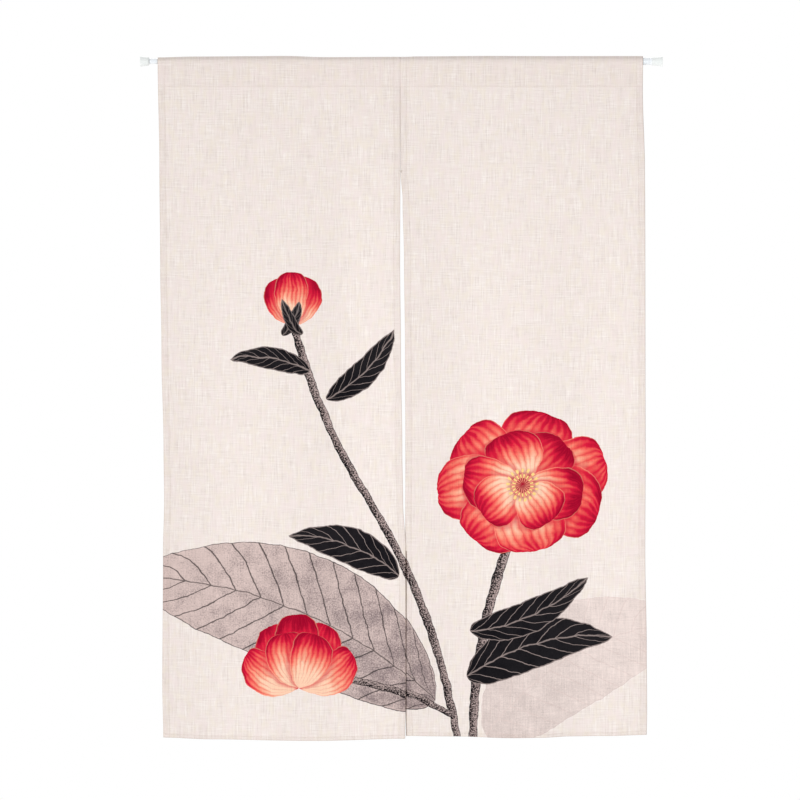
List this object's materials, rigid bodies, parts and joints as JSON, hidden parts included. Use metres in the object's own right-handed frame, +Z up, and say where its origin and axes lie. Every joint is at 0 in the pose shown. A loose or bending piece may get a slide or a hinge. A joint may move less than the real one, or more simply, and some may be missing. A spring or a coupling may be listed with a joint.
{
  "type": "split door curtain on a telescopic tension rod",
  "caption": "Split door curtain of two hemmed linen panels sewn together at the top, hung by a rod pocket on a white telescopic tension rod.",
  "frame": {"origin": "middle of the right foot's flat end face, on the rod's axis", "axes": "+X along the rod to the viewer's right and out of the right foot, +Y away from the viewer, +Z up"},
  "size_m": [0.914, 0.0189, 1.2003],
  "materials": {
    "linen": "matte slubby plain weave, printed on the front",
    "rod_white": "gloss white coat",
    "foot_white": "satin moulded"
  },
  "bodies": {
    "curtain": {"outer_tube": "rod_white", "right_foot": "foot_white", "left_panel": "linen", "right_panel": "linen"},
    "rod_extension": {"inner_tube": "rod_white", "left_foot": "foot_white"}
  },
  "joints": [
    {"name": "rod_extend", "type": "slide", "parent": "curtain", "child": "rod_extension", "axis": [-1, 0, 0], "range_m": [-0.01, 0.25]}
  ]
}
